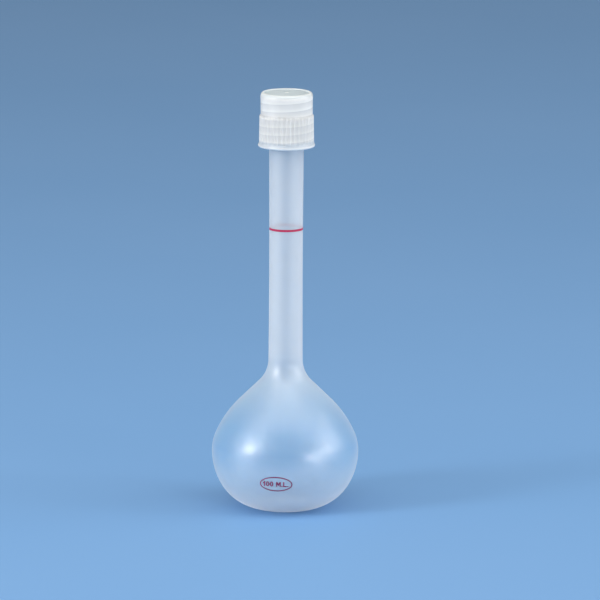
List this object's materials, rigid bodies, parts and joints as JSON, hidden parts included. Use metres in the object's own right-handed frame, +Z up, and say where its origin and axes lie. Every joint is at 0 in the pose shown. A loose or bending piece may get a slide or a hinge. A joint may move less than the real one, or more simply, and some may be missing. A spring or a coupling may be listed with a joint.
{
  "type": "volumetric flask",
  "caption": "Narrow-necked volumetric flask in translucent plastic with a pear-shaped bulb, a red graduation ring and a ribbed screw cap that unscrews and lifts off.",
  "frame": {"origin": "centre of the ring that the flask stands on, at the height of the surface it stands on", "axes": "+Z up along the flask's axis, from the base to the cap; -Y is the front, which carries the printed capacity; +X is to the right of the front"},
  "size_m": [0.0604, 0.0604, 0.1731],
  "materials": {
    "translucent_polypropylene": "satin, milky translucent",
    "white_polypropylene": "satin, slightly translucent white",
    "liner_foam": "matt foamed polyethylene",
    "red_ink": "screen-printed ink",
    "dark_red_ink": "screen-printed ink"
  },
  "bodies": {
    "flask": {"flask_body": "translucent_polypropylene", "graduation_ring": "red_ink", "capacity_mark": "dark_red_ink"},
    "liner": {"cap_liner": "liner_foam"},
    "cap": {"screw_cap": "white_polypropylene"}
  },
  "joints": [
    {"name": "cap_rise", "type": "slide", "parent": "flask", "child": "liner", "axis": [0, 0, 1], "range_m": [0, 0.032]},
    {"name": "cap_turn", "type": "hinge", "parent": "liner", "child": "cap", "pos_m": [0, 0, 0.162], "axis": [0, 0, 1], "range_deg": [0, 3600]}
  ],
  "couplings": [
    {"joint": "cap_rise", "follows": "cap_turn", "m_per_rad": 0.0005093}
  ]
}
